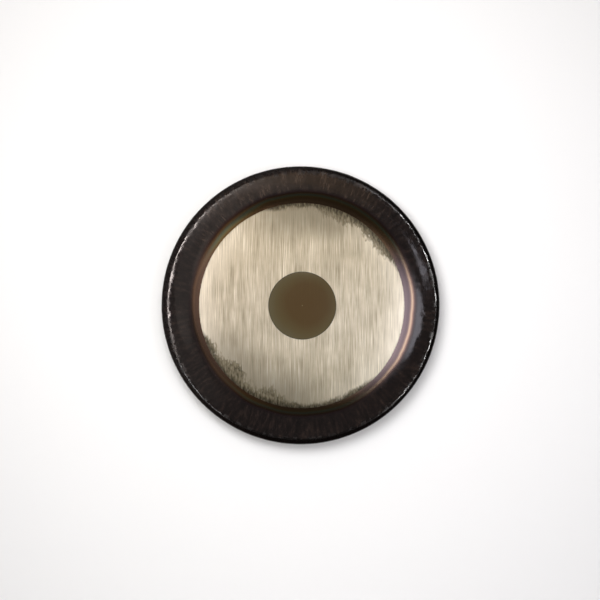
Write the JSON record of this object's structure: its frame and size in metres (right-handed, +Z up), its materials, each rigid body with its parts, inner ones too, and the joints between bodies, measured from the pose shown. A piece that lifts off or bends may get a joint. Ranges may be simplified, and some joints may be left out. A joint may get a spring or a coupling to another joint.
{
  "type": "symphonic gong",
  "caption": "Round hammered gong with a shallow domed face, a dark border, a deep turned-back rim and grommeted cord holes near its top.",
  "frame": {"origin": "halfway between the two grommet bores, on the line through the middles of both", "axes": "+Z up as the gong hangs, -Y out of the face towards the player, +X to the right seen from the front; the gong's own axis is parallel to Y, 330.4 mm below the origin"},
  "size_m": [0.7108, 0.0887, 0.7109],
  "materials": {
    "nickel_silver": "spun and hammered nickel silver: the field is brushed bright in upright strokes, the border, rim and centre disc keep the dark oxide of the forging",
    "black_rubber": "moulded black rubber, matt"
  },
  "bodies": {
    "root": {"gong_sheet": "nickel_silver", "left_grommet": "black_rubber", "right_grommet": "black_rubber"}
  },
  "joints": []
}
